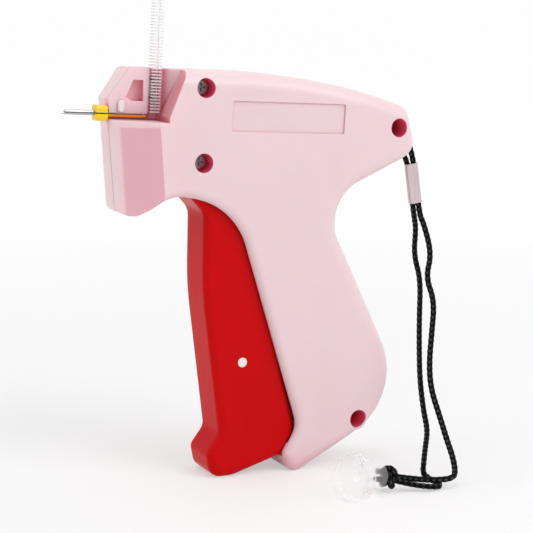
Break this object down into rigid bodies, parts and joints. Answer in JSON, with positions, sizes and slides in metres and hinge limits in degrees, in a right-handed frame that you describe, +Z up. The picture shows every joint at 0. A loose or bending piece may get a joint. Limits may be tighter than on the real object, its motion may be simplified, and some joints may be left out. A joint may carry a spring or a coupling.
{
  "type": "fastener gun",
  "caption": "Hand-squeezed fastener gun: pink clamshell body, red trigger, slotted needle, geared plunger slide, fastener strip feed and a black wrist cord with a clear needle cap.",
  "frame": {"origin": "on the floor under the middle of the gun, without its strap, as it stands on grip and trigger toe", "axes": "+Z up, nose to -X, the cut-away side of the head to -Y"},
  "size_m": [0.1319, 0.0717, 0.1649],
  "materials": {
    "shell": "smooth satin",
    "trigger": "glossy",
    "steel": "ground",
    "screw": "plated",
    "white_pin": "smooth",
    "grey_plastic": "moulded",
    "white_gear": "moulded",
    "brass_guide": "turned",
    "bumper": "moulded",
    "hub": "smooth",
    "fastener": "moulded",
    "cord": "braided",
    "ferrule": "crimped",
    "clear_cap": "clear plastic"
  },
  "bodies": {
    "housing": {"left_shell": "shell", "right_shell": "shell", "trigger_pivot_pin": "steel", "pinion_axle": "steel", "pinion_washers": "steel", "rod_guide": "brass_guide", "slide_bumper": "bumper", "needle_tube": "steel", "needle_hub": "hub", "cutter_blade": "steel", "feed_axle": "steel", "feed_pawl": "steel", "case_screws": "screw", "return_spring": "steel", "strap_post": "steel", "strap_cord_a": "cord", "strap_cord_b": "cord", "strap_ferrule": "ferrule", "strap_knot": "cord", "needle_cap": "clear_cap"},
    "trigger": {"trigger": "trigger", "spring_pin": "white_pin"},
    "spring_seat": {"spring_seat": "grey_plastic"},
    "pinion": {"pinion": "white_gear"},
    "slide": {"slide": "white_gear", "plunger_rod": "steel"},
    "fastener_strip": {"fastener_strip": "fastener"},
    "feed_wheel": {"feed_wheel": "white_gear"},
    "needle_lock": {"needle_lock": "shell"}
  },
  "joints": [
    {"name": "trigger_squeeze", "type": "hinge", "parent": "housing", "child": "trigger", "pos_m": [0.00639, 0, 0.01452], "axis": [0, 1, 0], "range_deg": [0, 14.5], "stiffness_Nm_per_rad": 1.5, "springref_deg": -17.19, "deforming": ["return_spring"]},
    {"name": "spring_seat_tilt", "type": "hinge", "parent": "trigger", "child": "spring_seat", "pos_m": [-0.00293, 0, 0.03914], "axis": [0, 1, 0], "range_deg": [-15, 0]},
    {"name": "pinion_turn", "type": "hinge", "parent": "housing", "child": "pinion", "pos_m": [0.01054, 0, 0.10864], "axis": [0, 1, 0], "range_deg": [-262, 0]},
    {"name": "slide_stroke", "type": "slide", "parent": "housing", "child": "slide", "axis": [-0.9981, 0, 0.061], "range_m": [0, 0.0318]},
    {"name": "strip_feed", "type": "slide", "parent": "housing", "child": "fastener_strip", "axis": [0.061, 0, 0.9981], "range_m": [0, 0.007]},
    {"name": "feed_wheel_turn", "type": "hinge", "parent": "housing", "child": "feed_wheel", "pos_m": [-0.03186, 0.00302, 0.13117], "axis": [0.9981, 0, -0.061], "range_deg": [-135.6, 0]},
    {"name": "needle_lock_turn", "type": "hinge", "parent": "housing", "child": "needle_lock", "pos_m": [-0.04231, -0.002, 0.12585], "axis": [0, 1, 0], "range_deg": [0, 90]}
  ],
  "couplings": [
    {"joint": "spring_seat_tilt", "follows": "trigger_squeeze", "ratio": -1},
    {"joint": "pinion_turn", "follows": "trigger_squeeze", "ratio": -17.842},
    {"joint": "slide_stroke", "follows": "trigger_squeeze", "m_per_rad": 0.12489},
    {"joint": "feed_wheel_turn", "follows": "strip_feed", "rad_per_m": -330.69}
  ]
}
